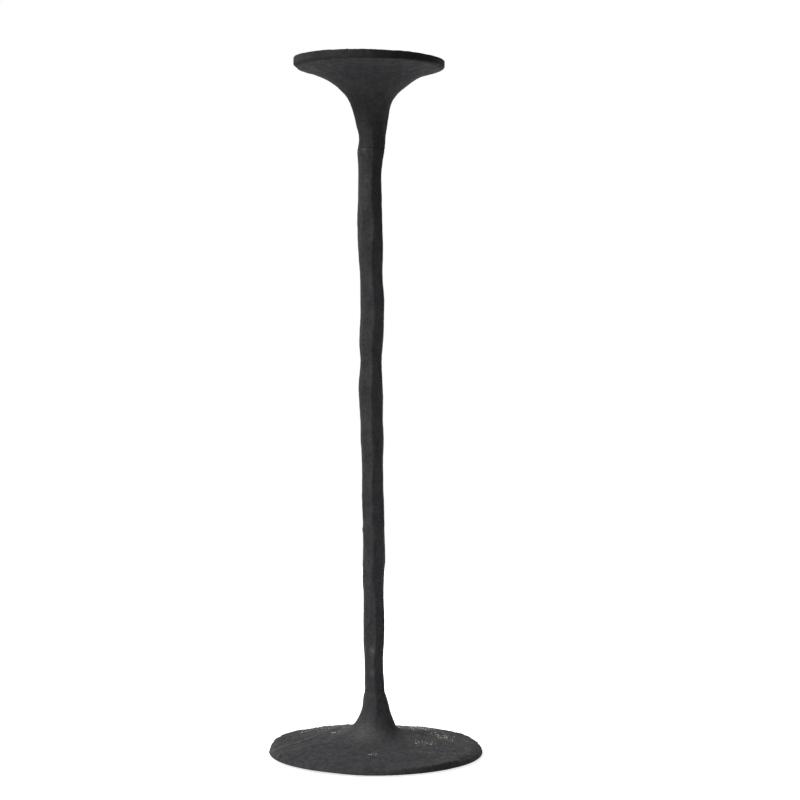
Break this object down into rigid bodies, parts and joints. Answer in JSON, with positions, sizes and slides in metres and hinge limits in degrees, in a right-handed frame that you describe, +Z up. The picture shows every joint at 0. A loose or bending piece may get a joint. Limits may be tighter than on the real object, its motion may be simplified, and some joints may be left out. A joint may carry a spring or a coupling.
{
  "type": "candlestick",
  "caption": "Tall pillar-candle stand in black cast iron: flared pan on a slim hand-worked stem, screwed to a heavy round base on felt pads.",
  "frame": {"origin": "under the middle of the base, on the surface that the felt pads rest on", "axes": "+Z up through the stem to the pan, +X to the right and -Y towards the viewer in the picture"},
  "size_m": [0.154, 0.154, 0.5011],
  "materials": {
    "black_iron": "sand-cast and hand-worked, matt black wax",
    "zinc_steel": "bright zinc plate",
    "felt": "pressed black felt"
  },
  "bodies": {
    "root": {"base": "black_iron", "stem": "black_iron", "pan": "black_iron", "top_stud": "zinc_steel", "base_bolt": "zinc_steel", "base_washer": "zinc_steel", "spring_washer": "zinc_steel", "foot_pad_1": "felt", "foot_pad_2": "felt", "foot_pad_3": "felt", "foot_pad_4": "felt"}
  },
  "joints": []
}
